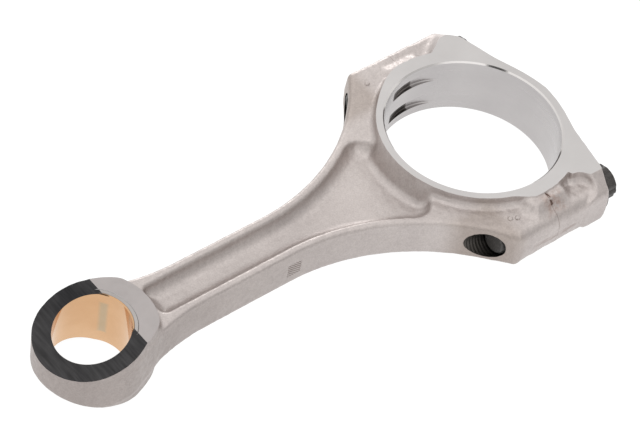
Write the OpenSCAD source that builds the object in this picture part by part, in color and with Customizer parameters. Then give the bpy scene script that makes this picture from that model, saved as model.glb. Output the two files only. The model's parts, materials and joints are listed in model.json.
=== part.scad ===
/* [Main sizes] */
// Distance between the centres of the two bores
centre_distance = 153; // [148:1:160]
// Width of the big end and of the thick part of the small end
end_width = 22; // [21:0.5:24]
// Bore of the big end, without bearing shells
big_bore_d = 59; // [58:0.1:59.2]
// Bore of the small-end bush, which takes the piston pin
pin_d = 24; // [23:0.5:24]
// Outer diameter of the small-end bush
bush_od = 27.2; // [26.8:0.1:28]
// Thickness of the bush's bronze lining
lining_t = 0.4; // [0.3:0.1:0.6]

/* [Forging] */
// Thickness of the forged shank and shoulders
body_t = 14.5; // [14:0.5:15]
// Thickness of the web between the two pockets
web_t = 6; // [4.5:0.5:6.5]
// Half width of the shank
shank_hw = 9; // [8.5:0.5:10]
// Width of the flange beside the pocket
flange_w = 3.5; // [3:0.5:4]
// Half width of the big end over the bolt bosses
shoulder_hw = 44.4; // [44:0.1:45]
// Radius of the flare from the shank into the shoulders
flare_r = 78; // [76:1:79]
// Distance from the big bore's centre to the start of the flare
flare_x = 82; // [81:1:83]
// Outer radius of the small end's wedge
eye_r = 17.4; // [17:0.1:18]
// Outer radius of the small end's thick part, towards the shank
eye_back_r = 20.2; // [20:0.1:21]
// Angle of each sloping face of the small end
wedge_angle = 14; // [10:1:15]
// Distance from the pin's axis back to the edge where the slopes start
wedge_start = 9.4; // [8:0.1:10]

/* [Big end] */
// Radius of the machined ring's outer edge
ring_r = 32.3; // [31.5:0.1:33]
// Radius of the ring's outer edge on the cap and beside the split
bridge_r = 34.9; // [34:0.1:35.5]
// Distance from the split to where the ring narrows
bridge_x = 6.6; // [5:0.1:9]
// Outer radius of the cap's crown at its faces
crown_face_r = 32.4; // [32:0.1:33]
// Outer radius of the cap's crown at mid width
crown_r = 36.4; // [35:0.1:38]
// Distance from the split to the bolt heads' seats
seat_x = 22; // [21.5:0.1:22.5]
// Distance from the split to the full-width wall under the bolt heads
wall_x = 16.4; // [15:0.1:17]
// Chamfer on the big bore's rims
rim_chamfer = 0.3; // [0.2:0.1:0.8]

/* [Cap bolts] */
// Distance between the two bolt axes
bolt_spacing = 71; // [71:0.1:71.4]
// Diameter of the bolts over their thread
bolt_d = 10; // [9:0.1:10]
// Radial clearance of the bolts in their holes
bolt_clearance = 0.07; // [0.05:0.01:0.1]
// Length of each bolt under its head
bolt_length = 42.5; // [40:0.5:43]
// Diameter of the flange under each bolt's head
bolt_flange_d = 16.7; // [16:0.1:17]
// Width across the flats of the twelve-point head
bolt_head_af = 11; // [10:0.1:11.5]

/* [Hidden] */
$fn = 120;
end_z = end_width / 2;
body_z = body_t / 2;
web_z = web_t / 2;
big_r = big_bore_d / 2;
pin_r = pin_d / 2;
bush_r = bush_od / 2;
lining_r = pin_r + lining_t;
eye_x = centre_distance;
wedge_x = eye_x - wedge_start;
bolt_y = bolt_spacing / 2;
hole_r = bolt_d / 2 + bolt_clearance;
far = 60;

// Flares at the two ends of the shank
flare_y = shank_hw + flare_r;
neck_r = 60;
neck_x = eye_x - 36;
neck_y = shank_hw + neck_r;
neck_end = eye_x - 12;
pocket_hw = shank_hw - flange_w;
pocket_r = flare_r + flange_w;
pocket_ring_r = 33.4;
pocket_tip_y = 18.7;
pocket_corners = [[29, 12], [36, pocket_tip_y]];
pocket_end = eye_x - 22.5;
pocket_round_r = 4;

// Outline of the small end's thick part, from the pin's axis towards the shank
eye_corners = [[0, eye_r - 1], [-wedge_start, 14.7], [-17, 12.2], [-eye_back_r, 11]];

// Spot faces under the bolt heads
spot_r = 9;

// Flanks of the cap's faces, between the crown and the walls under the bolt heads
cap_flank = [[-28.6, 16], [-24.8, 30], [-24.2, 35]];

// Half width of the flat between the sloped corners at the big end's bosses
slope_y = 37.5;

// Notches for the bearing shells' tangs, cut by a disc
tang_z = 5.3;
tang_w = 4.2;
tang_disc_r = 18;
tang_disc_y = -12.8;

// Bolt head
flange_t = 2.2;
head_top = 7.6;
head_r = bolt_head_af / 2 / cos(30);
head_round_r = 6.05;
waist_r = bolt_d / 2 - 0.6;
guide_len = 5;
tip_chamfer = 1;
dimple_r = 2;

// A list of points, followed by its mirror image across the rod's long axis in reverse order
function with_mirror(points) = concat(
  points, [for (i = [len(points) - 1:-1:0]) [points[i].x, -points[i].y]]
);

// Copies a shape onto the other side of the rod's long axis
module both_sides() {
  children();
  mirror([0, 1, 0]) children();
}

// Copies a shape onto the other face of the rod
module both_faces() {
  children();
  mirror([0, 0, 1]) children();
}

// A slab of the given half thickness, centred on the rod's mid plane
module slab(half) {
  translate([0, 0, -half]) linear_extrude(2 * half) children();
}

// Plan of the forged rod: shoulders, flare, shank and neck
module rod_plan() {
  difference() {
    translate([0, -shoulder_hw]) square([flare_x, 2 * shoulder_hw]);
    both_sides() translate([flare_x, flare_y]) circle(flare_r);
  }
  translate([flare_x - 1, -shank_hw]) square([neck_x - flare_x + 2, 2 * shank_hw]);
  difference() {
    translate([neck_x, -eye_r]) square([neck_end - neck_x, 2 * eye_r]);
    both_sides() translate([neck_x, neck_y]) circle(neck_r);
  }
  translate([eye_x, 0]) circle(eye_r);
}

// Plan of the pocket that makes the shank an I section
module pocket_plan() {
  difference() {
    polygon(with_mirror(concat(pocket_corners, [[flare_x, pocket_tip_y]])));
    both_sides() translate([flare_x, flare_y]) circle(pocket_r);
    circle(pocket_ring_r);
  }
  translate([flare_x - 1, -pocket_hw])
    square([pocket_end - flare_x - pocket_round_r + 1, 2 * pocket_hw]);
  translate([pocket_end - pocket_round_r - 0.5, -pocket_hw + pocket_round_r])
    square([pocket_round_r + 0.5, 2 * (pocket_hw - pocket_round_r)]);
  both_sides() translate([pocket_end - pocket_round_r, pocket_hw - pocket_round_r])
    circle(pocket_round_r);
}

// Plan of the machined ring around the big bore, wider on the cap and beside the split
module ring_plan() {
  circle(ring_r);
  intersection() {
    circle(bridge_r);
    translate([-far, -far]) square([far + bridge_x, 2 * far]);
  }
}

// Plan of the thick part of the small end
module eye_plan() {
  translate([eye_x, 0]) circle(eye_r);
  intersection() {
    translate([eye_x, 0]) circle(eye_back_r);
    translate([eye_x, 0]) polygon(with_mirror(eye_corners));
  }
}

// Space above and below the small end's sloping faces
module wedge_cut() {
  reach = 2 * eye_r;
  drop = reach * tan(wedge_angle);
  both_faces() translate([wedge_x, far / 2, end_z]) rotate([90, 0, 0])
    linear_extrude(far) polygon([[0, 0], [reach, -drop], [reach, 2], [0, 2]]);
}

// Space in the big bore with a chamfer at each rim
module big_bore() {
  cylinder(r = big_r, h = 2 * end_z + 2, center = true);
  both_faces() translate([0, 0, end_z - rim_chamfer])
    cylinder(r1 = big_r, r2 = big_r + rim_chamfer + 0.5, h = rim_chamfer + 0.5);
}

// Two notches across the split for the bearing shells' tangs
module tang_notches() {
  both_faces() translate([0, tang_disc_y, tang_z])
    cylinder(r = tang_disc_r, h = tang_w, center = true);
}

// Both bolt holes, right through the big end
module bolt_holes() {
  both_sides() translate([0, bolt_y, 0]) rotate([0, 90, 0])
    cylinder(r = hole_r, h = 2 * far, center = true);
}

module connecting_rod() {
  color([0.72, 0.69, 0.67]) difference() {
    union() {
      difference() {
        slab(body_z) rod_plan();
        both_faces() translate([0, 0, web_z]) linear_extrude(body_z) pocket_plan();
      }
      intersection() {
        slab(end_z) ring_plan();
        translate([0, -far, -far]) cube([2 * far, 2 * far, 2 * far]);
      }
      slab(end_z) eye_plan();
    }
    big_bore();
    tang_notches();
    bolt_holes();
    wedge_cut();
    translate([eye_x, 0, 0]) cylinder(r = bush_r, h = end_width + 2, center = true);
  }
}

// Plan of the cap at mid width: crown and bolt bosses
module cap_plan() {
  intersection() {
    circle(crown_r);
    translate([-far, -far / 2]) square([far, far]);
  }
  translate([-seat_x, -shoulder_hw]) square([seat_x, 2 * shoulder_hw]);
}

// Plan of the cap's machined faces: ring, crown and full-width walls under the bolt heads
module cap_face_plan() {
  intersection() {
    ring_plan();
    translate([-wall_x, -far]) square([wall_x, 2 * far]);
  }
  intersection() {
    circle(crown_face_r);
    translate([-far, -far]) square([far, 2 * far]);
  }
  polygon(with_mirror(concat(cap_flank, [[-seat_x, shoulder_hw], [-wall_x, shoulder_hw]])));
}

// End view of the cap, with its four long corners sloped
module cap_end_view() {
  polygon([
    [shoulder_hw, -body_z], [shoulder_hw, body_z], [slope_y, end_z], [-slope_y, end_z],
    [-shoulder_hw, body_z], [-shoulder_hw, -body_z], [-slope_y, -end_z], [slope_y, -end_z]
  ]);
}

module big_end_cap() {
  color([0.76, 0.74, 0.73]) difference() {
    intersection() {
      union() {
        slab(body_z) cap_plan();
        slab(end_z) cap_face_plan();
      }
      rotate([90, 0, -90]) linear_extrude(far) cap_end_view();
    }
    big_bore();
    tang_notches();
    bolt_holes();
    both_sides() translate([-seat_x, bolt_y, 0]) rotate([0, -90, 0])
      cylinder(r = spot_r, h = far);
  }
}

// A tube along the pin's axis, cut to the wedge of the small end
module wedge_tube(outer, inner, rim) {
  difference() {
    translate([eye_x, 0, 0]) rotate_extrude() polygon([
      [inner, -end_z + rim], [inner + rim, -end_z], [outer, -end_z],
      [outer, end_z], [inner + rim, end_z], [inner, end_z - rim]
    ]);
    wedge_cut();
  }
}

module bush_shell() {
  color([0.62, 0.6, 0.58]) wedge_tube(bush_r, lining_r, 0.2);
}

module bush_lining() {
  color([0.86, 0.66, 0.45]) wedge_tube(lining_r, pin_r, 0.3);
}

// One bolt, along +X from the seat under its flange
module cap_bolt() {
  rotate([0, 90, 0]) {
    rotate_extrude() polygon([
      [0, -flange_t], [bolt_flange_d / 2 - 0.4, -flange_t], [bolt_flange_d / 2, -flange_t + 0.5],
      [bolt_flange_d / 2, 0], [bolt_d / 2, 0], [bolt_d / 2, guide_len], [waist_r, guide_len + 1],
      [waist_r, seat_x - 3], [bolt_d / 2, seat_x - 2], [bolt_d / 2, bolt_length - tip_chamfer],
      [bolt_d / 2 - tip_chamfer, bolt_length], [0, bolt_length]
    ]);
    difference() {
      intersection() {
        translate([0, 0, -head_top]) union() {
          for (turn = [0, 30])
            rotate([0, 0, turn]) cylinder(r = head_r, h = head_top - 1, $fn = 6);
        }
        rotate_extrude() polygon([
          [0, 0], [head_round_r, 0], [head_round_r, 1.5 - head_top],
          [head_round_r - 1.5, -head_top], [0, -head_top]
        ]);
      }
      translate([0, 0, -head_top - 1]) cylinder(r = dimple_r, h = 2);
    }
  }
}

module cap_bolt_left() {
  color([0.16, 0.15, 0.15]) translate([-seat_x, bolt_y, 0]) cap_bolt();
}

module cap_bolt_right() {
  color([0.16, 0.15, 0.15]) translate([-seat_x, -bolt_y, 0]) cap_bolt();
}

connecting_rod();
big_end_cap();
bush_shell();
bush_lining();
cap_bolt_left();
cap_bolt_right();
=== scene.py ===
"""A connecting rod: forged rod and cap, bronze-lined bush and two threaded cap bolts."""

import json
from itertools import product

import bpy
import numpy as np
from mathutils import Matrix, Vector


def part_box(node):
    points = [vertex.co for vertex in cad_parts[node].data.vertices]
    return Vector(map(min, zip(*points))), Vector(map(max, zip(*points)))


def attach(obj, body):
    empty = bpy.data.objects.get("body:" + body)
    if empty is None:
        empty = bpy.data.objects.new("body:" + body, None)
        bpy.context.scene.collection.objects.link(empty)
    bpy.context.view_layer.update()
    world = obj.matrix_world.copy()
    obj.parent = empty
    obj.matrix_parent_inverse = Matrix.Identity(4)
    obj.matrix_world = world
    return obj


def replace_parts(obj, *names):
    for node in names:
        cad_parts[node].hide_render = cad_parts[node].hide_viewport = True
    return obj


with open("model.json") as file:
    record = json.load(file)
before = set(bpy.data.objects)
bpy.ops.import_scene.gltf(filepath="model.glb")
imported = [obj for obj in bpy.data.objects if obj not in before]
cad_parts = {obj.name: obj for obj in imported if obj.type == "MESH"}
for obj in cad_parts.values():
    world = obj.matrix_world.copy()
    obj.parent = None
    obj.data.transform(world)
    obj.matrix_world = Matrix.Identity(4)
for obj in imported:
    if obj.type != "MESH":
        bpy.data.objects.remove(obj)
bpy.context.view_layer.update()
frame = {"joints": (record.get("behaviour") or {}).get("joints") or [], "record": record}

# Lengths in this script are millimetres in the frame's axes, and MM turns them into metres.
MM = 0.001

# ================================================================ sizes taken from the frame
MOUNTS = {mount["name"]: mount for mount in frame["record"]["mounts"]}
HINGE = {joint["name"]: joint for joint in frame["joints"]}["bolt_left_turn"]
ROD_BOX = [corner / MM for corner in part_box("connecting_rod")]
CAP_BOX = [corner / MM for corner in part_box("big_end_cap")]
BOLT_BOX = [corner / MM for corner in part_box("cap_bolt_left")]

EYE_X = MOUNTS["small_end_bore"]["pos_m"][0] / MM
PIN_R = MOUNTS["small_end_bore"]["dims"]["r_mm"]
BIG_R = MOUNTS["big_end_bore"]["dims"]["r_mm"]
END_Z = ROD_BOX[1].z
EYE_R = ROD_BOX[1].x - EYE_X
SHOULDER_HW = ROD_BOX[1].y
CROWN_R = -CAP_BOX[0].x
BUSH_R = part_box("bush_shell")[1].y / MM
LINING_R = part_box("bush_lining")[1].y / MM
SEAT_X = HINGE["pos_m"][0] / MM
BOLT_Y = HINGE["pos_m"][1] / MM
BOLT_TIP = BOLT_BOX[1].x
HEAD_END = BOLT_BOX[0].x
FLANGE_R = BOLT_BOX[1].z

# ================================================================ the rod's forging
BODY_Z = 7.25
WEB_Z = 3.0
SHANK_HW = 9.0
FLARE_X = 82.0
FLARE_R = 78.0
FLARE_Y = SHANK_HW + FLARE_R
NECK_R = 70.0
NECK_Y = SHANK_HW + NECK_R
NECK_X = EYE_X - np.sqrt((NECK_R + EYE_R) ** 2 - NECK_Y**2)
EDGE_R = 1.5
RAW_Z = END_Z + 1.5
SIDE_DRAFT = np.tan(np.radians(2.5))
SIDE_DRAFT_FADE = (EYE_X - 28, EYE_X - 12)
SHOULDER_DRAFT = np.tan(np.radians(5))
SHOULDER_ROUND = 1.2
WALL_DRAFT = np.tan(np.radians(8))
POCKET_WALL_DRAFT = np.tan(np.radians(22))

POCKET_HW = 6.1
POCKET_END = EYE_X - 22.3
POCKET_TIP = (36.0, 18.9)
POCKET_TIP_R = 5.0
POCKET_DRAFT = np.tan(np.radians(10))
POCKET_FLOOR_R = 4.2
POCKET_END_R = 2.5
POCKET_EDGE_R = 1.1
TIP_NORMAL = (0.72, 0.69)
TIP_CUT = 1.0

RING_R = 32.3
BRIDGE_R = 34.9
BRIDGE_START = 3.0
LEFT_BRIDGE_END = 11.0
RIGHT_BRIDGE_END = 22.0
STEEP_END_Y = (10.0, 18.0)
STEEP_START_X = (0.0, 10.0)
RING_FILLET = 2.0
PAD_R = 20.2
PAD_ROUND = 2.5
PAD_FILLET = 1.5
EDGE_FADE = (10.0, 24.0)
WEDGE_X = EYE_X - 9.4
WEDGE_ANGLE = np.radians(14)

# ================================================================ the cap's forging
CROWN_FACE_R = 32.4
CROWN_POWER = 2.2
CROWN_FILLET = 0.4
CROWN_FILLET_GROWTH = 1.6
CROWN_FILLET_FADE = (7.0, 20.0)
FLANK = 31.3
FLANK_NORMAL = (-0.974, 0.226)
FLANK_ROUND = 1.0
SLOPE_Y = 37.5
SLOPE_NORMAL = (0.585, 0.811)
SLOPE_END = -11.0
SLOPE_FADE = (SLOPE_END - 0.5, SLOPE_END + 0.5)
SLOPE_RUN_OUT = 6
SLOPE_ROUND = 0.5
CORNER = (-23.5, 34.9, END_Z)
CORNER_NORMAL = (-0.516, 0.537, 0.668)
CORNER_ROUND = 0.8
SCOOP_X = -13.0
SCOOP_Y = 39.3
SCOOP_R = 5.3
PLATEAU_ROUND = 0.8
STEP_X = -12.5
STEP_Y = 34.4
STEP_NORMAL = (0.54, 0.842)
LUG_X = (-7.5, 6.6)
LUG_Y = 37.6
LUG_Z = 10.4
LUG_SLOPE = 0.6
LUG_CORNER_R = 2.0
LUG_EDGE_R = 1.2
LUG_FILLET = 0.8
BRIDGE_BACK = 16.4
LOW_LUG_Z = 7.9
SPLIT_ROUND = 4.2
LOW_SPLIT_ROUND = 2.0

# ================================================================ threads and machining
PITCH = 1.25
HOLE_ROOT_R = 5.2
HOLE_CREST_R = 4.47
HOLE_FADE = (13.0, 19.0)
BOLT_CREST_R = 4.97
BOLT_ROOT_R = 4.28
RIM_CHAMFER = 0.5
PIPS = ((12.2, 36.3, 0.9), (14.6, 35.3, 0.9), (14.8, -36.4, 0.9))
TANG_Z = 5.3
TANG_W = 4.2
TANG_Y = -12.8
TANG_DISC_R = 18.0
SPOT_R = 9.0
MARK_CELL = 0.5
MARK_PLACE = (81.5, SHANK_HW, -0.4)
MARK_HALF = (2.6, 1.2, 2.6)
CAP_HOLE_R = 5.3
HOLE_END = 32.0
MOUTH_FADE = (0.9, 2.2)
FADED_SHARE = 0.92
SEAT_GAP = 0.02
HEAD_FLAT = 5.5
HEAD_POINT_R = 6.05
HEAD_FOOT_R = 6.2
GUIDE_END = -18.0
WAIST_START = -17.0
WAIST_END = -3.0
THREAD_START = -2.0
FAR = 60.0

SWELL = 0.012
SPLIT_SWELL = 0.028
SWELL_COUNT = 9
SWELL_STEEPNESS = 1.3
RNG = np.random.default_rng(11)
SWELL_DIRECTIONS = RNG.normal(size=(SWELL_COUNT, 3)) * SWELL_STEEPNESS
SWELL_STARTS = RNG.uniform(0, 6.28, SWELL_COUNT)
ROUGH_Y = (32, 36)
ROD_ROUGH_X = (8, 16)
CAP_ROUGH_X = (-18, -8)

GRID = 0.55
ROUND = 192
ROWS_PER_TURN = 12
THREAD_SEGMENTS = 96

# ================================================================ stage, light and camera
FLOOR_HALF = 3000
FLOOR_TONE = (0.12, 0.12, 0.12, 1)
FLOOR_GLOW = 0.96
HORIZON = (0.62, 0.61, 0.60)
OVERHEAD = (1.0, 0.99, 0.98)
# Each dark patch: its direction, the cosines where it starts and is complete, and its level.
DARK_PATCHES = (((0.655, 0.335, 0.672), 0.974, 0.986, 0.1), ((-0.5, 0.66, 0.56), 0.88, 0.96, 0.62))
WORLD_STRENGTH = 1.3
AIM = Vector((59.95, -4.46, 0.0))
AZIMUTH = np.radians(43.15)
ELEVATION = np.radians(47.29)
ROLL = np.radians(10.48)
DISTANCE = 778.8
LENS = 137.05
SENSOR = 36.0
LIGHT_PLACE = (-500, -850, 170)
LIGHT_TARGET = (60, 0, 0)
LIGHT_SIZE = 400
LIGHT_POWER = 1.5


# ================================================================ distance fields
def round_max(a, b, radius):
    """Where both solids are, with a round of this radius along the edge between them."""
    corner = np.hypot(np.maximum(a + radius, 0), np.maximum(b + radius, 0))
    return np.minimum(-radius, np.maximum(a, b)) + corner


def round_min(a, b, radius):
    """Both solids joined, with a fillet of this radius in the corner between them."""
    return -round_max(-a, -b, radius)


def fade(value, start, end):
    """0 at start, 1 at end, and a smooth step between."""
    t = np.clip((value - start) / (end - start), 0, 1)
    return t * t * (3 - 2 * t)


def rod_outline(x, y):
    """Shoulders' flare, shank, neck and eye in plan; y is the distance from the long axis."""
    flare = FLARE_R - np.hypot(x - FLARE_X, y - FLARE_Y)
    neck = NECK_R - np.hypot(x - NECK_X, y - NECK_Y)
    side = np.where(x < FLARE_X, flare, np.where(x < NECK_X, y - SHANK_HW, neck))
    eye = np.hypot(x - EYE_X, y) - EYE_R
    past_neck = (x - EYE_X) * NECK_Y + y * (EYE_X - NECK_X) > 0
    return np.where(past_neck, eye, side)


def pocket(x, y, z):
    """The recess that leaves the web: drafted walls, a filleted floor, and two tips beside the ring."""
    flare = FLARE_R + SHANK_HW - POCKET_HW - np.hypot(x - FLARE_X, y - FLARE_Y)
    side = np.where(x < FLARE_X, flare, y - POCKET_HW)
    tip = (POCKET_TIP[0] - x) * TIP_NORMAL[0] + (y - POCKET_TIP[1]) * TIP_NORMAL[1] - TIP_CUT
    plan = round_max(round_max(side, tip, POCKET_TIP_R), x - POCKET_END, POCKET_END_R)
    return round_max(plan + POCKET_DRAFT * (BODY_Z - z), WEB_Z - z, POCKET_FLOOR_R)


def ring(x, y, z, left):
    """The thick ring round the big bore, wider by the split, leaning more over the pocket."""
    bridge_end = np.where(left, LEFT_BRIDGE_END, RIGHT_BRIDGE_END)
    radius = RING_R + (BRIDGE_R - RING_R) * (1 - fade(x, BRIDGE_START, bridge_end))
    over_pocket = (1 - fade(y, *STEEP_END_Y)) * fade(x, *STEEP_START_X)
    draft = WALL_DRAFT + (POCKET_WALL_DRAFT - WALL_DRAFT) * over_pocket
    wall = np.hypot(x, y) - radius - draft * (END_Z - z)
    return np.maximum(wall, z - RAW_Z)


def lug(x, y, z, top):
    """The raised bridge over the split, beside the ring."""
    plan = round_max(np.maximum(LUG_X[0] - x, x - LUG_X[1]), y - LUG_Y, LUG_CORNER_R)
    return round_max(plan - LUG_SLOPE * (top - z), z - top, LUG_EDGE_R)


def bridged_ring(x, y, z, left):
    """The ring with its lug on each side, the left one taller."""
    bridge = lug(x, y, z, np.where(left, LUG_Z, LOW_LUG_Z))
    return round_min(ring(x, y, z, left), bridge, LUG_FILLET)


def edge_round(x, left):
    """Radius between the shoulders' top and their sides, larger towards the split and on the left side."""
    largest = np.where(left, SPLIT_ROUND, LOW_SPLIT_ROUND)
    return EDGE_R + (largest - EDGE_R) * (1 - fade(x, *EDGE_FADE))


def unevenness(x, y, z):
    """Small swells of a forged and blasted skin."""
    total = 0.0
    for direction, start in zip(SWELL_DIRECTIONS, SWELL_STARTS):
        total = total + np.sin(direction[0] * x + direction[1] * y + direction[2] * z + start)
    return total


def roughened(field, x, y, z, near_split):
    """Adds the forging's swells, stronger beside the split."""
    strength = SWELL + (SPLIT_SWELL - SWELL) * near_split
    return field + strength * unevenness(x, y, z)


def rod_field(x, y, z):
    """The forged rod, negative inside."""
    left, swell_y, swell_z = y > 0, y, z
    y, z = np.abs(y), np.abs(z)
    draft = SIDE_DRAFT * (1 - fade(x, *SIDE_DRAFT_FADE))
    side = y - SHOULDER_HW + SHOULDER_DRAFT * z
    outline = round_max(rod_outline(x, y) + draft * (z - BODY_Z), side, SHOULDER_ROUND)
    body = round_max(outline, z - BODY_Z, edge_round(x, left))
    body = round_max(body, -pocket(x, y, z), POCKET_EDGE_R)
    pad = np.hypot(x - EYE_X, y) - PAD_R - WALL_DRAFT * (END_Z - z)
    pad = np.maximum(round_max(rod_outline(x, y), pad, PAD_ROUND), z - RAW_Z)
    ringed = round_min(body, bridged_ring(x, y, z, left), RING_FILLET)
    near_split = fade(y, *ROUGH_Y) * (1 - fade(x, *ROD_ROUGH_X))
    whole = roughened(round_min(ringed, pad, PAD_FILLET), x, swell_y, swell_z, near_split)
    return np.maximum(np.maximum(whole, y - SHOULDER_HW), z - RAW_Z)


def plateau_plan(x, y, z, left):
    """Where the cap's machined face reaches out over the bolts: a scoop on the left, a slant on the right."""
    scoop = SCOOP_R - np.hypot(x - SCOOP_X, y - SCOOP_Y) - WALL_DRAFT * (END_Z - z)
    scooped = round_max(x - SCOOP_X, scoop, PLATEAU_ROUND)
    slant = (x - STEP_X) * STEP_NORMAL[0] + (y - STEP_Y) * STEP_NORMAL[1] - LUG_SLOPE * (END_Z - z)
    return np.where(left, scooped, slant)


def cap_field(x, y, z):
    """The forged cap, negative inside."""
    left, swell_y, swell_z = y > 0, y, z
    y, z = np.abs(y), np.abs(z)
    side = y - SHOULDER_HW + SHOULDER_DRAFT * z
    flank = x * FLANK_NORMAL[0] + y * FLANK_NORMAL[1] - FLANK
    block = round_max(flank, side, FLANK_ROUND)
    corner = sum((value - start) * part for value, start, part in zip((x, y, z), CORNER, CORNER_NORMAL))
    block = np.where(left, block, round_max(block, corner, CORNER_ROUND))
    slope = (y - SLOPE_Y) * SLOPE_NORMAL[0] + (z - END_Z) * SLOPE_NORMAL[1]
    body = round_max(block, z - BODY_Z, edge_round(x, left))
    body = round_max(body, slope - SLOPE_RUN_OUT * fade(x, *SLOPE_FADE), SLOPE_ROUND)
    plateau = round_max(round_max(block, slope, SLOPE_ROUND), plateau_plan(x, y, z, left), PLATEAU_ROUND)
    plateau = np.maximum(plateau, z - RAW_Z)
    crown_r = CROWN_R - (CROWN_R - CROWN_FACE_R) * (z / END_Z) ** CROWN_POWER
    crown = np.maximum(np.hypot(x, y) - crown_r, z - RAW_Z)
    bridge = np.maximum(bridged_ring(x, y, z, left), -BRIDGE_BACK - x)
    thick = round_min(bridge, plateau, PLATEAU_ROUND)
    crown_fillet = CROWN_FILLET + CROWN_FILLET_GROWTH * fade(-x, *CROWN_FILLET_FADE)
    whole = round_min(round_min(body, thick, RING_FILLET), crown, crown_fillet)
    near_split = fade(y, *ROUGH_Y) * fade(x, *CAP_ROUGH_X)
    whole = roughened(whole, x, swell_y, swell_z, near_split)
    return np.maximum(np.maximum(whole, y - SHOULDER_HW), np.maximum(z - RAW_Z, -CROWN_R - x))


# ================================================================ meshes
def new_piece(name, points, faces, materials):
    """An object from points in millimetres."""
    mesh = bpy.data.meshes.new(name)
    mesh.from_pydata((np.asarray(points, float) * MM).tolist(), [], [list(map(int, f)) for f in faces])
    mesh.validate()
    piece = bpy.data.objects.new(name, mesh)
    bpy.context.scene.collection.objects.link(piece)
    for material in materials:
        mesh.materials.append(material)
    return piece


def field_mesh(field, low, high):
    """Points and quads of a field's zero surface: one point per crossed cell, moved onto the surface."""
    low, high = np.array(low, float), np.array(high, float)
    count = np.ceil((high - low) / GRID).astype(int) + 1
    axes = [low[i] + GRID * np.arange(count[i]) for i in range(3)]
    value = field(*np.meshgrid(*axes, indexing="ij"))
    inside = value < 0
    total = sum(inside[i : i + count[0] - 1, j : j + count[1] - 1, k : k + count[2] - 1].astype(np.int8)
                for i, j, k in product((0, 1), repeat=3))
    cells = np.argwhere((total > 0) & (total < 8))
    number = np.full(total.shape, -1)
    number[tuple(cells.T)] = np.arange(len(cells))
    place, crossings = np.zeros((len(cells), 3)), np.zeros(len(cells))
    for axis in range(3):
        step = np.eye(3, dtype=int)[axis]
        for corner in product((0, 1), repeat=3):
            if corner[axis]:
                continue
            a = value[tuple((cells + corner).T)]
            b = value[tuple((cells + corner + step).T)]
            crossed = (a < 0) != (b < 0)
            share = np.where(crossed, a / np.where(crossed, a - b, 1), 0)
            place[crossed] += (np.array(corner) + share[:, None] * step)[crossed]
            crossings += crossed
    points = low + GRID * (cells + place / crossings[:, None])
    faces = []
    for axis in range(3):
        one, two = [a for a in range(3) if a != axis]
        step = np.eye(3, dtype=int)
        here = inside[tuple(slice(0, -1) if a == axis else slice(1, -1) for a in range(3))]
        there = inside[tuple(slice(1, None) if a == axis else slice(1, -1) for a in range(3))]
        edges = np.argwhere(here != there)
        outward = here[tuple(edges.T)]
        edges[:, one] += 1
        edges[:, two] += 1
        around = [edges - step[one] - step[two], edges - step[two], edges, edges - step[one]]
        quads = np.stack([number[tuple(cell.T)] for cell in around], 1)
        flip = outward if axis != 1 else ~outward
        faces.append(np.where(flip[:, None], quads, quads[:, ::-1]))
    return settle(field, points), np.concatenate(faces)


def settle(field, points):
    """Moves points onto the field's zero surface along its slope."""
    points = points.copy()
    reach, rounds, flattest, longest = 0.02, 4, 0.1, 0.3 * GRID
    for _ in range(rounds):
        value = field(*points.T)
        slope = np.stack([
            (field(*(points + reach * unit).T) - field(*(points - reach * unit).T)) / (2 * reach)
            for unit in np.eye(3)], 1)
        move = value[:, None] * slope / np.maximum((slope**2).sum(1), flattest)[:, None]
        length = np.linalg.norm(move, axis=1, keepdims=True)
        points -= move * np.minimum(1, longest / np.maximum(length, 1e-9))
    return points


def grid_faces(rows, around, wrap):
    """Quads over rows of points that close around; wrap also joins the last row to the first."""
    faces = []
    for row in range(rows if wrap else rows - 1):
        after = (row + 1) % rows
        for i in range(around):
            j = (i + 1) % around
            faces.append((row * around + i, row * around + j, after * around + j, after * around + i))
    return faces


def turned(name, profile, material, axis, centre, segments=None, radius=None, wrap=False):
    """A turned solid from (height, radius) pairs; radius(height, r, angle) may shape it further."""
    segments = segments or ROUND
    angle = 2 * np.pi * np.arange(segments) / segments
    height = np.array([h for h, r in profile])[:, None] + 0 * angle
    r = np.array([r for h, r in profile])[:, None] + 0 * angle
    if radius:
        r = radius(height, r, angle[None, :])
    across, up = r * np.cos(angle), r * np.sin(angle)
    points = {"X": (height, across, up), "Z": (across, up, height)}[axis]
    points = np.stack(points, -1).reshape(-1, 3) + np.array(centre)
    faces = grid_faces(len(profile), segments, wrap)
    if not wrap:
        faces.append(tuple(range(segments))[::-1])
        last = (len(profile) - 1) * segments
        faces.append(tuple(last + i for i in range(segments)))
    piece = new_piece(name, points, faces, [material])
    return outward(piece)


def outward(piece):
    """Turns the piece's faces outward."""
    mesh = piece.data
    mesh.calc_loop_triangles()
    volume = 0.0
    for triangle in mesh.loop_triangles:
        a, b, c = (mesh.vertices[i].co for i in triangle.vertices)
        volume += a.dot(b.cross(c))
    if volume < 0:
        mesh.flip_normals()
    return piece


def box(name, low, high, material, turn=None, pivot=(0, 0, 0)):
    """A box between two corners, turned about a pivot."""
    points = np.array(list(product(*zip(low, high))), float)
    if turn is not None:
        points = (points - pivot) @ np.array(turn.to_3x3()).T + pivot
    faces = [(0, 1, 3, 2), (4, 6, 7, 5), (0, 4, 5, 1), (2, 3, 7, 6), (0, 2, 6, 4), (1, 5, 7, 3)]
    return outward(new_piece(name, points, faces, [material]))


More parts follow.
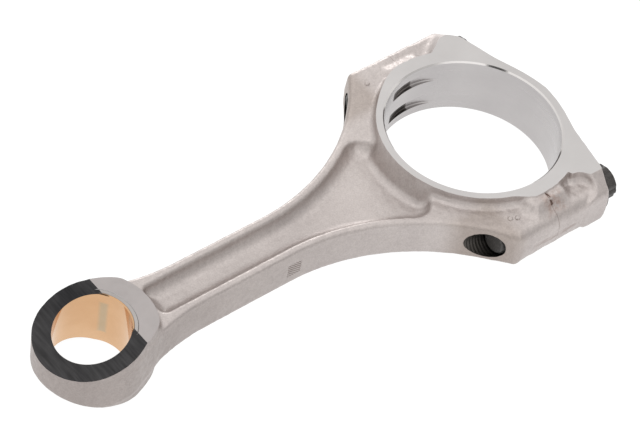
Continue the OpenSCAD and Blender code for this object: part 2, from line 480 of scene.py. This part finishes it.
def combine(piece, tool, operation):
    """Cuts, joins or trims a piece with a tool, which is used up."""
    change = piece.modifiers.new("combine", "BOOLEAN")
    change.operation = operation
    change.object = tool
    change.solver = "MANIFOLD"
    change.material_mode = "TRANSFER"
    bpy.context.view_layer.update()
    result = bpy.data.meshes.new_from_object(piece.evaluated_get(bpy.context.evaluated_depsgraph_get()))
    piece.modifiers.clear()
    old, piece.data = piece.data, result
    bpy.data.meshes.remove(old)
    bpy.data.objects.remove(tool)


def finish_edges(piece, degrees=32):
    """Smooth shading, with edges kept sharp by their angle and between two materials."""
    mesh = piece.data
    mesh.shade_smooth()
    mesh.set_sharp_from_angle(angle=np.radians(degrees))
    sharp = mesh.attributes["sharp_edge"].data
    material_of = {}
    for polygon in mesh.polygons:
        for key in polygon.edge_keys:
            material_of.setdefault(key, set()).add(polygon.material_index)
    for edge in mesh.edges:
        if len(material_of.get(edge.key, ())) > 1:
            sharp[edge.index].value = True


# ================================================================ materials
def nodes_of(material):
    """The material's nodes and links."""
    material.use_nodes = True
    return material.node_tree.nodes, material.node_tree.links


def math_node(nodes, links, operation, first, second):
    """One sum on two values, each a socket or a number."""
    node = nodes.new("ShaderNodeMath")
    node.operation = operation
    for socket, value in zip(node.inputs, (first, second)):
        if isinstance(value, (int, float)):
            socket.default_value = value
        else:
            links.new(value, socket)
    return node.outputs[0]


def noise(nodes, links, place, size, detail=4.0, roughness=0.55, stretch=None):
    """Noise over the object's own coordinates; size is the width of its largest waves in millimetres."""
    texture = nodes.new("ShaderNodeTexNoise")
    texture.inputs["Scale"].default_value = 1 / (size * MM)
    texture.inputs["Detail"].default_value = detail
    texture.inputs["Roughness"].default_value = roughness
    source = place.outputs["Object"]
    if stretch:
        mapping = nodes.new("ShaderNodeMapping")
        mapping.inputs["Scale"].default_value = stretch
        links.new(source, mapping.inputs["Vector"])
        source = mapping.outputs["Vector"]
    links.new(source, texture.inputs["Vector"])
    return texture.outputs["Fac"]


def ramp(nodes, links, source, stops):
    """A colour ramp; stops are (position, value or colour)."""
    node = nodes.new("ShaderNodeValToRGB")
    elements = node.color_ramp.elements
    while len(elements) < len(stops):
        elements.new(0.5)
    for element, (position, colour) in zip(elements, stops):
        element.position = position
        colour = (colour,) * 3 if isinstance(colour, (int, float)) else colour
        element.color = (*colour, 1)
    links.new(source, node.inputs["Fac"])
    return node.outputs["Color"]


def zone(nodes, links, place, centre, half, soft):
    """1 inside a box given in millimetres, fading to 0 over a soft border."""
    offset = nodes.new("ShaderNodeVectorMath")
    offset.operation = "SUBTRACT"
    offset.inputs[1].default_value = [value * MM for value in centre]
    links.new(place.outputs["Object"], offset.inputs[0])
    size = nodes.new("ShaderNodeVectorMath")
    size.operation = "ABSOLUTE"
    links.new(offset.outputs[0], size.inputs[0])
    past = nodes.new("ShaderNodeVectorMath")
    past.operation = "SUBTRACT"
    past.inputs[1].default_value = [value * MM for value in half]
    links.new(size.outputs[0], past.inputs[0])
    parts = nodes.new("ShaderNodeSeparateXYZ")
    links.new(past.outputs[0], parts.inputs[0])
    farthest = math_node(nodes, links, "MAXIMUM", parts.outputs[0], parts.outputs[1])
    farthest = math_node(nodes, links, "MAXIMUM", farthest, parts.outputs[2])
    border = nodes.new("ShaderNodeMapRange")
    border.interpolation_type = "SMOOTHSTEP"
    border.inputs["From Max"].default_value = soft * MM
    border.inputs["To Min"].default_value = 1
    border.inputs["To Max"].default_value = 0
    links.new(farthest, border.inputs["Value"])
    return border.outputs[0]


def tint(nodes, links, base, mask, colour):
    """Multiplies a colour where the mask is 1."""
    mix = nodes.new("ShaderNodeMix")
    mix.data_type = "RGBA"
    mix.blend_type = "MULTIPLY"
    links.new(mask, mix.inputs["Factor"])
    links.new(base, mix.inputs["A"])
    mix.inputs["B"].default_value = (*colour, 1)
    return mix.outputs["Result"]


def tint_with(nodes, links, base, other):
    """The product of two colours."""
    mix = nodes.new("ShaderNodeMix")
    mix.data_type = "RGBA"
    mix.blend_type = "MULTIPLY"
    mix.inputs["Factor"].default_value = 1
    links.new(base, mix.inputs["A"])
    links.new(other, mix.inputs["B"])
    return mix.outputs["Result"]


def grain_ramp(nodes, links, source, low, high):
    """Spreads the middle of a noise's values between two tones."""
    return ramp(nodes, links, source, [(0.3, low), (0.7, high)])


def metal(name, dark, light, rough, grain_size, grit_size, bump, stretch=None, metallic=1.0, speckle=0.0,
          marks=()):
    """Metal of uneven tone and roughness, with grain in two sizes and marks over its colour."""
    material = bpy.data.materials.new(name)
    nodes, links = nodes_of(material)
    shader = nodes["Principled BSDF"]
    place = nodes.new("ShaderNodeTexCoord")
    shader.inputs["Metallic"].default_value = metallic
    colour = grain_ramp(nodes, links, noise(nodes, links, place, 30, 6.0, 0.6), dark, light)
    grit = noise(nodes, links, place, grit_size, 2.0, 0.5, stretch)
    if speckle:
        fleck = grain_ramp(nodes, links, grit, 1 - speckle, 1.0)
        colour = tint_with(nodes, links, colour, fleck)
    for mark in marks:
        colour = mark(nodes, links, place, colour)
    links.new(colour, shader.inputs["Base Color"])
    grain = noise(nodes, links, place, grain_size, 3.0, 0.5, stretch)
    links.new(grain_ramp(nodes, links, grain, *rough), shader.inputs["Roughness"])
    relief = nodes.new("ShaderNodeBump")
    relief.inputs["Strength"].default_value = bump
    relief.inputs["Distance"].default_value = 0.1 * MM
    height = math_node(nodes, links, "ADD", grain, math_node(nodes, links, "MULTIPLY", grit, 0.6))
    links.new(height, relief.inputs["Height"])
    links.new(relief.outputs["Normal"], shader.inputs["Normal"])
    return material


def split_line(nodes, links, place, colour):
    """A hair-thin dark line and faint brown stains along the split between rod and cap."""
    ragged = noise(nodes, links, place, 1.2, 3.0, 0.7)
    line = zone(nodes, links, place, (0, 0, 0), (0.03, 60, 20), 0.12)
    colour = tint(nodes, links, colour, line, (0.6, 0.55, 0.53))
    crack = zone(nodes, links, place, (-0.3, 36.5, 9), (0.25, 2.6, 3), 0.5)
    crack = math_node(nodes, links, "MULTIPLY", crack, ramp(nodes, links, ragged, [(0.45, 0.0), (0.6, 1.0)]))
    colour = tint(nodes, links, colour, crack, (0.22, 0.15, 0.12))
    stain = zone(nodes, links, place, (-1, 38.5, 8), (1.5, 0.8, 2), 4)
    stain = math_node(nodes, links, "MULTIPLY", stain, ramp(nodes, links, ragged, [(0.35, 0.0), (0.65, 1.0)]))
    return tint(nodes, links, colour, stain, (0.78, 0.66, 0.61))


def flare_shade_and_side_streak(nodes, links, place, colour):
    """Painted shade, slightly brown, on the flares round the threaded holes, and a dark streak along the left
    side.
    """
    for y in (BOLT_Y, -BOLT_Y):
        # Painted shade, slightly brown, round each threaded hole's mouth on the flare.
        around = zone(nodes, links, place, (24, y, 0), (3, 4, 4), 9)
        colour = tint(nodes, links, colour, around, (0.74, 0.7, 0.66))
    streak = zone(nodes, links, place, (1, SHOULDER_HW, -0.5), (9, 1, 0.2), 1.2)
    patch = noise(nodes, links, place, 3.0, 3.0, 0.7, (0.3, 1, 1))
    streak = math_node(nodes, links, "MULTIPLY", streak, ramp(nodes, links, patch, [(0.4, 0.0), (0.6, 1.0)]))
    return tint(nodes, links, colour, streak, (0.72, 0.66, 0.64))


def painted_side_shade(nodes, links, place, colour):
    """Painted shade: the forging's sides a little darker than its faces, more so towards the small end."""
    facing = nodes.new("ShaderNodeSeparateXYZ")
    links.new(place.outputs["Normal"], facing.inputs[0])
    level = math_node(nodes, links, "ABSOLUTE", facing.outputs[2], 0.0)
    upright = math_node(nodes, links, "SUBTRACT", 1.0, level)
    along = nodes.new("ShaderNodeSeparateXYZ")
    links.new(place.outputs["Object"], along.inputs[0])
    share = math_node(nodes, links, "DIVIDE", along.outputs[0], EYE_X * MM)
    share = ramp(nodes, links, share, [(0.25, 0.0), (0.95, 1.0)])
    side_shade_amount = math_node(nodes, links, "MULTIPLY", upright, share)
    # Painted shade: upright faces darkened, the more towards the small end.
    return tint(nodes, links, colour, side_shade_amount, (0.70, 0.68, 0.67))


def etched_mark(nodes, links, place, colour):
    """A small etched block of chequered cells, without any meaning, on the shank's left side."""
    flat = nodes.new("ShaderNodeMapping")
    flat.inputs["Scale"].default_value = (1, 0, 1)
    links.new(place.outputs["Object"], flat.inputs["Vector"])
    cells = nodes.new("ShaderNodeTexChecker")
    cells.inputs["Scale"].default_value = 1 / (MARK_CELL * MM)
    links.new(flat.outputs["Vector"], cells.inputs["Vector"])
    block = zone(nodes, links, place, MARK_PLACE, MARK_HALF, 0.2)
    block = math_node(nodes, links, "MULTIPLY", block, cells.outputs["Fac"])
    return tint(nodes, links, colour, block, (0.42, 0.38, 0.36))


def bush_painted_reflection_and_shade(nodes, links, place, colour):
    """A painted reflection, a dull grey streak along the bronze from one rim to the other, and painted shade,
    darker redder bronze, at its sides.
    """
    # Painted reflection: a dull grey streak down the bore.
    streak = zone(nodes, links, place, (EYE_X - 9.7, -7.1, 0.5), (0.5, 0.4, 6), 1.2)
    colour = tint(nodes, links, colour, streak, (0.78, 0.96, 1.12))
    # Painted shade: darker, redder bronze at both sides of the bore.
    for x, y in ((-2.0, 11.8), (10.5, -5.7)):
        side = zone(nodes, links, place, (EYE_X + x, y, 0), (1.2, 1.2, 12), 2.0)
        colour = tint(nodes, links, colour, side, (0.62, 0.52, 0.45))
    return colour


# The forged skin's marks include painted shade on its sides and round the threaded holes on the flares.
FORGED = metal("forged_skin", (0.50, 0.455, 0.44), (0.60, 0.55, 0.53), rough=(0.36, 0.52),
               grain_size=1.6, grit_size=0.5, bump=0.6, speckle=0.16,
               marks=(split_line, flare_shade_and_side_streak, painted_side_shade, etched_mark))
MACHINED = metal("machined_face", (0.49, 0.475, 0.47), (0.55, 0.535, 0.53), rough=(0.3, 0.42),
                 grain_size=4, grit_size=0.5, bump=0.06)
# A darker copy of the machined face, for the small end's pads: painted shade.
SHADED_PAD = metal("milled_pad_painted_shade", (0.37, 0.345, 0.34), (0.43, 0.40, 0.395), rough=(0.36, 0.5),
            grain_size=3, grit_size=0.5, bump=0.12)
BORED = metal("bored_wall", (0.47, 0.45, 0.45), (0.53, 0.51, 0.505), rough=(0.26, 0.36),
              grain_size=5, grit_size=0.4, bump=0.05, stretch=(0.15, 0.15, 6))
RIM = metal("chamfered_rim", (0.66, 0.64, 0.63), (0.76, 0.74, 0.73), rough=(0.06, 0.10),
            grain_size=4, grit_size=0.5, bump=0.02)
GROUND = metal("ground_wedge", (0.034, 0.034, 0.036), (0.078, 0.076, 0.077), rough=(0.25, 0.4),
               grain_size=3, grit_size=0.9, bump=0.05, stretch=(1, 0.08, 1), speckle=0.4)
# Very dark metal for the rod's tang notches: painted shade in the recesses.
SHADED_NOTCH = metal("notch_wall_painted_shade", (0.05, 0.045, 0.042), (0.26, 0.24, 0.23), rough=(0.3, 0.5),
              grain_size=2, grit_size=0.5, bump=0.1)
FRACTURE = metal("split_face", (0.30, 0.28, 0.27), (0.40, 0.38, 0.37), rough=(0.5, 0.7),
                 grain_size=1.4, grit_size=0.7, bump=1.0, speckle=0.3)
# Very dark metal for the walls of the bolt holes: painted shade inside the holes.
SHADED_THREAD = metal("thread_wall_painted_shade", (0.06, 0.055, 0.05), (0.14, 0.13, 0.12), rough=(0.35, 0.5),
               grain_size=2, grit_size=0.5, bump=0.1)
# The bush's bore carries a painted reflection and painted shade.
BRONZE = metal("bush_bore", (0.62, 0.38, 0.21), (0.74, 0.49, 0.30), rough=(0.07, 0.12),
               grain_size=6, grit_size=0.4, bump=0.02, stretch=(0.3, 0.3, 4), marks=(bush_painted_reflection_and_shade,))
BACKING = metal("bush_backing", (0.35, 0.33, 0.32), (0.45, 0.43, 0.42), rough=(0.25, 0.35),
                grain_size=3, grit_size=0.4, bump=0.05)
BLACK = metal("black_oxide", (0.055, 0.051, 0.05), (0.13, 0.122, 0.115), rough=(0.35, 0.55),
              grain_size=2, grit_size=0.45, bump=0.3, metallic=0.6, speckle=0.4)


# ================================================================ machining tools
def face_planes(start, end, material):
    """Two slabs that grind both faces flat between two places along X."""
    return [box("slab", (start, -FAR, min(z, z * 2)), (end, FAR, max(z, z * 2)), material)
            for z in (END_Z, -END_Z)]


def wedge_planes():
    """Two slabs that cut the small end's slopes."""
    tools = []
    for side in (1, -1):
        low, high = (WEDGE_X, -FAR, END_Z), (WEDGE_X + FAR, FAR, END_Z + FAR)
        tool = box("wedge", low, high, GROUND, Matrix.Rotation(WEDGE_ANGLE, 4, "Y"), (WEDGE_X, 0, END_Z))
        if side < 0:
            tool.data.transform(Matrix.Scale(-1, 4, (0, 0, 1)))
            outward(tool)
        tools.append(tool)
    return tools


def big_bore_tool():
    """The big bore with its chamfered rims."""
    high = END_Z + 1
    flared = BIG_R + RIM_CHAMFER + 1
    profile = [(-high, flared), (-END_Z + RIM_CHAMFER, BIG_R), (END_Z - RIM_CHAMFER, BIG_R), (high, flared)]
    tool = turned("bore", profile, BORED, "Z", (0, 0, 0), 2 * ROUND)
    tool.data.materials.append(RIM)
    for face in tool.data.polygons:
        face.material_index = int(abs(face.center.z) > (END_Z - RIM_CHAMFER) * MM)
    return tool


def tang_tools(material):
    """Discs that cut the notches for the bearing shells' tangs."""
    half, bevel = TANG_W / 2, 0.3
    profile = [(-half, TANG_DISC_R - bevel), (-half + bevel, TANG_DISC_R), (half - bevel, TANG_DISC_R),
               (half, TANG_DISC_R - bevel)]
    return [turned("notch", profile, material, "Z", (0, TANG_Y, z)) for z in (TANG_Z, -TANG_Z)]


def thread_ridge(height, angle):
    """0 in the groove and 1 on the crest of a right-hand thread along +X, in step with the bolts' turning."""
    phase = (height / PITCH - angle / (2 * np.pi)) % 1
    return np.clip((np.abs(2 * phase - 1) - 0.15) / 0.7, 0, 1)


def thread_rows(start, end, crest):
    """Rows close enough together to carry the thread."""
    steps = int(round((end - start) / PITCH * ROWS_PER_TURN))
    return [(start + (end - start) * i / steps, crest) for i in range(steps + 1)]


def eye_bore_tool():
    """The small end's housing for the bush, chamfered at both ends."""
    high, bevel = END_Z + 1, 0.25
    flared = BUSH_R + bevel + 1
    profile = [(-high, flared), (-END_Z + bevel, BUSH_R), (END_Z - bevel, BUSH_R), (high, flared)]
    return turned("housing", profile, MACHINED, "Z", (EYE_X, 0, 0))


def tapped_hole(y):
    """A threaded hole whose thread runs out towards the mouth on the flare."""
    rows = [(-1.0, HOLE_ROOT_R + 0.4), (0.5, HOLE_ROOT_R + 0.3)] + thread_rows(1.0, HOLE_END, HOLE_ROOT_R)

    def radius(height, plain, angle):
        depth = (HOLE_ROOT_R - HOLE_CREST_R) * (1 - FADED_SHARE * fade(height, *HOLE_FADE))
        depth = depth * fade(height, *MOUTH_FADE)
        return plain - depth * (1 - thread_ridge(height, angle))

    return turned("tapped", rows, SHADED_THREAD, "X", (0, y, 0), 72, radius)


def raised_marks():
    """Plain round pips where the forging carries its raised marks."""
    base, top = BODY_Z - 0.6, BODY_Z + 0.4
    marks = []
    for x, y, radius in PIPS:
        profile = [(base, radius), (top - 0.25, radius), (top, radius - 0.3)]
        marks.append(turned("pip", profile, FORGED, "Z", (x, y, 0), 32))
    return marks


# ================================================================ pieces
def make_rod():
    """The rod's forging, machined at both ends."""
    low = (-1 - 2 * GRID, -SHOULDER_HW - 2, -RAW_Z - 2 * GRID)
    high = (EYE_X + EYE_R + 2, SHOULDER_HW + 2, RAW_Z + 2 * GRID)
    points, faces = field_mesh(lambda x, y, z: np.maximum(rod_field(x, y, z), -1 - x), low, high)
    rod = outward(new_piece("rod_forging", points, faces, [FORGED]))
    tools = face_planes(-FAR, FAR, MACHINED) + face_planes(FAR, 3 * FAR, SHADED_PAD)
    tools += [box("split", (-FAR, -FAR, -FAR), (0, FAR, FAR), FRACTURE)]
    tools += wedge_planes() + [big_bore_tool(), eye_bore_tool()] + tang_tools(SHADED_NOTCH)
    tools += [tapped_hole(y) for y in (BOLT_Y, -BOLT_Y)]
    for tool in tools:
        combine(rod, tool, "DIFFERENCE")
    for mark in raised_marks():
        combine(rod, mark, "UNION")
    finish_edges(rod)
    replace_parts(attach(rod, "rod"), "connecting_rod")


def make_cap():
    """The cap's forging, with spot faces and clearance holes for the bolts."""
    low = (-CROWN_R - 2, -SHOULDER_HW - 2, -RAW_Z - 2 * GRID)
    high = (1 + 2 * GRID, SHOULDER_HW + 2, RAW_Z + 2 * GRID)
    points, faces = field_mesh(lambda x, y, z: np.maximum(cap_field(x, y, z), x - 1), low, high)
    cap = outward(new_piece("cap_forging", points, faces, [FORGED]))
    tools = face_planes(-FAR, FAR, MACHINED) + [box("split", (0, -FAR, -FAR), (FAR, FAR, FAR), FRACTURE)]
    tools += [big_bore_tool()] + tang_tools(BORED)
    bevel = 0.6
    for y in (BOLT_Y, -BOLT_Y):
        spot = [(-FAR, SPOT_R), (SEAT_X - bevel, SPOT_R), (SEAT_X, SPOT_R - bevel)]
        tools.append(turned("spot_face", spot, MACHINED, "X", (0, y, 0)))
        hole = [(-FAR, CAP_HOLE_R), (1, CAP_HOLE_R)]
        tools.append(turned("clearance_hole", hole, SHADED_THREAD, "X", (0, y, 0), THREAD_SEGMENTS))
    for tool in tools:
        combine(cap, tool, "DIFFERENCE")
    finish_edges(cap)
    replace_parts(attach(cap, "cap"), "big_end_cap")


def make_bush(name, node, inner, outer, rim, material):
    """One tube of the bush, cut to the small end's wedge."""
    profile = [(-END_Z + rim, inner), (-END_Z, inner + rim), (-END_Z, outer), (END_Z, outer),
               (END_Z, inner + rim), (END_Z - rim, inner)]
    bush = turned(name, profile, material, "Z", (EYE_X, 0, 0), wrap=True)
    for tool in wedge_planes():
        combine(bush, tool, "DIFFERENCE")
    finish_edges(bush)
    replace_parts(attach(bush, "rod"), node)


def twelve_points(height, plain, angle):
    """Turns the head's rows, whose radius is given as negative, into a twelve-point star."""
    star = np.zeros_like(height)
    for turn in (0, np.pi / 6):
        across = (angle + turn) % (np.pi / 3) - np.pi / 6
        star = np.maximum(star, HEAD_FLAT / np.cos(across))
    return np.where(plain < 0, np.minimum(star, -plain), plain)


def make_bolt(name, node, body, y):
    """A cap bolt: dimpled twelve-point head, flange, guide, waist and thread."""
    guide, waist = BOLT_CREST_R - 0.02, BOLT_ROOT_R - 0.1
    head = [(HEAD_END + 0.5, 0.8), (HEAD_END + 0.35, 1.3), (HEAD_END, 1.8), (HEAD_END, 5.0),
            (HEAD_END + 0.1, -HEAD_FLAT), (HEAD_END + 0.5, -HEAD_POINT_R), (SEAT_X - 2.7, -HEAD_POINT_R),
            (SEAT_X - 2.2, -HEAD_FOOT_R)]
    flange = [(SEAT_X - 2.2, 6.3), (SEAT_X - 1.9, 7.6), (SEAT_X - 1.1, FLANGE_R), (SEAT_X - 0.3, FLANGE_R),
              (SEAT_X - SEAT_GAP, FLANGE_R - 0.3)]
    shank = [(SEAT_X - SEAT_GAP, guide + 0.25), (SEAT_X + 0.25, guide), (GUIDE_END, guide),
             (WAIST_START, waist), (WAIST_END, waist)]
    rows = thread_rows(THREAD_START, BOLT_TIP - 1.0, BOLT_CREST_R)
    tip = [(BOLT_TIP - 0.3, BOLT_ROOT_R - 0.2), (BOLT_TIP, BOLT_ROOT_R - 0.6), (BOLT_TIP - 0.2, 1.6)]

    def radius(height, plain, angle):
        threaded = BOLT_ROOT_R + (BOLT_CREST_R - BOLT_ROOT_R) * thread_ridge(height, angle)
        on_thread = (height > WAIST_END) & (plain > BOLT_ROOT_R)
        return np.where(on_thread, threaded, twelve_points(height, plain, angle))

    profile = head + flange + shank + rows + tip
    bolt = turned(name, profile, BLACK, "X", (0, y, 0), THREAD_SEGMENTS, radius)
    finish_edges(bolt, 25)
    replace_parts(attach(bolt, body), node)


make_rod()
make_cap()
make_bush("bush_backing", "bush_shell", LINING_R, BUSH_R, 0.2, BACKING)
make_bush("bush_bronze", "bush_lining", PIN_R, LINING_R, 0.3, BRONZE)
make_bolt("bolt_left", "cap_bolt_left", "bolt_left", BOLT_Y)
make_bolt("bolt_right", "cap_bolt_right", "bolt_right", -BOLT_Y)


# ================================================================ making the stage
def make_floor():
    """A plain pale floor under the rod."""
    material = bpy.data.materials.new("floor")
    nodes, links = nodes_of(material)
    shader = nodes["Principled BSDF"]
    shader.inputs["Base Color"].default_value = FLOOR_TONE
    shader.inputs["Roughness"].default_value = 0.9
    shader.inputs["Emission Color"].default_value = (1, 1, 1, 1)
    shader.inputs["Emission Strength"].default_value = FLOOR_GLOW
    corners = [(x * FLOOR_HALF, y * FLOOR_HALF, -END_Z) for x, y in ((-1, -1), (1, -1), (1, 1), (-1, 1))]
    new_piece("floor", corners, [(0, 1, 2, 3)], [material])


def make_light():
    """One soft square light, low down on the right side."""
    data = bpy.data.lights.new("side", "AREA")
    data.size = LIGHT_SIZE * MM
    data.energy = LIGHT_POWER
    light = bpy.data.objects.new("side", data)
    bpy.context.scene.collection.objects.link(light)
    light.location = Vector(LIGHT_PLACE) * MM
    toward = Vector(LIGHT_TARGET) - Vector(LIGHT_PLACE)
    light.rotation_euler = toward.to_track_quat("-Z", "Y").to_euler()


def make_world():
    """White surroundings, dimmer near the horizon, with two dark patches for the metal to reflect."""
    world = bpy.data.worlds.new("studio")
    bpy.context.scene.world = world
    world.use_nodes = True
    nodes, links = world.node_tree.nodes, world.node_tree.links
    place = nodes.new("ShaderNodeTexCoord")
    height = nodes.new("ShaderNodeSeparateXYZ")
    links.new(place.outputs["Generated"], height.inputs["Vector"])
    tone = ramp(nodes, links, height.outputs["Z"], [(0.05, HORIZON), (0.95, OVERHEAD)])
    for direction, start, full, level in DARK_PATCHES:
        toward = nodes.new("ShaderNodeVectorMath")
        toward.operation = "DOT_PRODUCT"
        toward.inputs[1].default_value = direction
        links.new(place.outputs["Generated"], toward.inputs[0])
        shade = ramp(nodes, links, toward.outputs["Value"], [(start, 1.0), (full, level)])
        tone = tint_with(nodes, links, tone, shade)
    links.new(tone, nodes["Background"].inputs["Color"])
    nodes["Background"].inputs["Strength"].default_value = WORLD_STRENGTH


def make_camera():
    """The camera, high on the small end's left side and tipped to its roll."""
    data = bpy.data.cameras.new("camera")
    data.lens = LENS
    data.sensor_width = SENSOR
    data.clip_start = 0.01
    camera = bpy.data.objects.new("camera", data)
    bpy.context.scene.collection.objects.link(camera)
    level_share = np.cos(ELEVATION)
    away = Vector((level_share * np.cos(AZIMUTH), level_share * np.sin(AZIMUTH), np.sin(ELEVATION)))
    camera.location = (AIM + DISTANCE * away) * MM
    level = (-away).to_track_quat("-Z", "Y").to_matrix().to_4x4()
    camera.rotation_euler = (level @ Matrix.Rotation(ROLL, 4, "Z")).to_euler()
    bpy.context.scene.camera = camera


make_floor()
make_world()
make_camera()
make_light()
bpy.context.scene.view_settings.view_transform = "Standard"
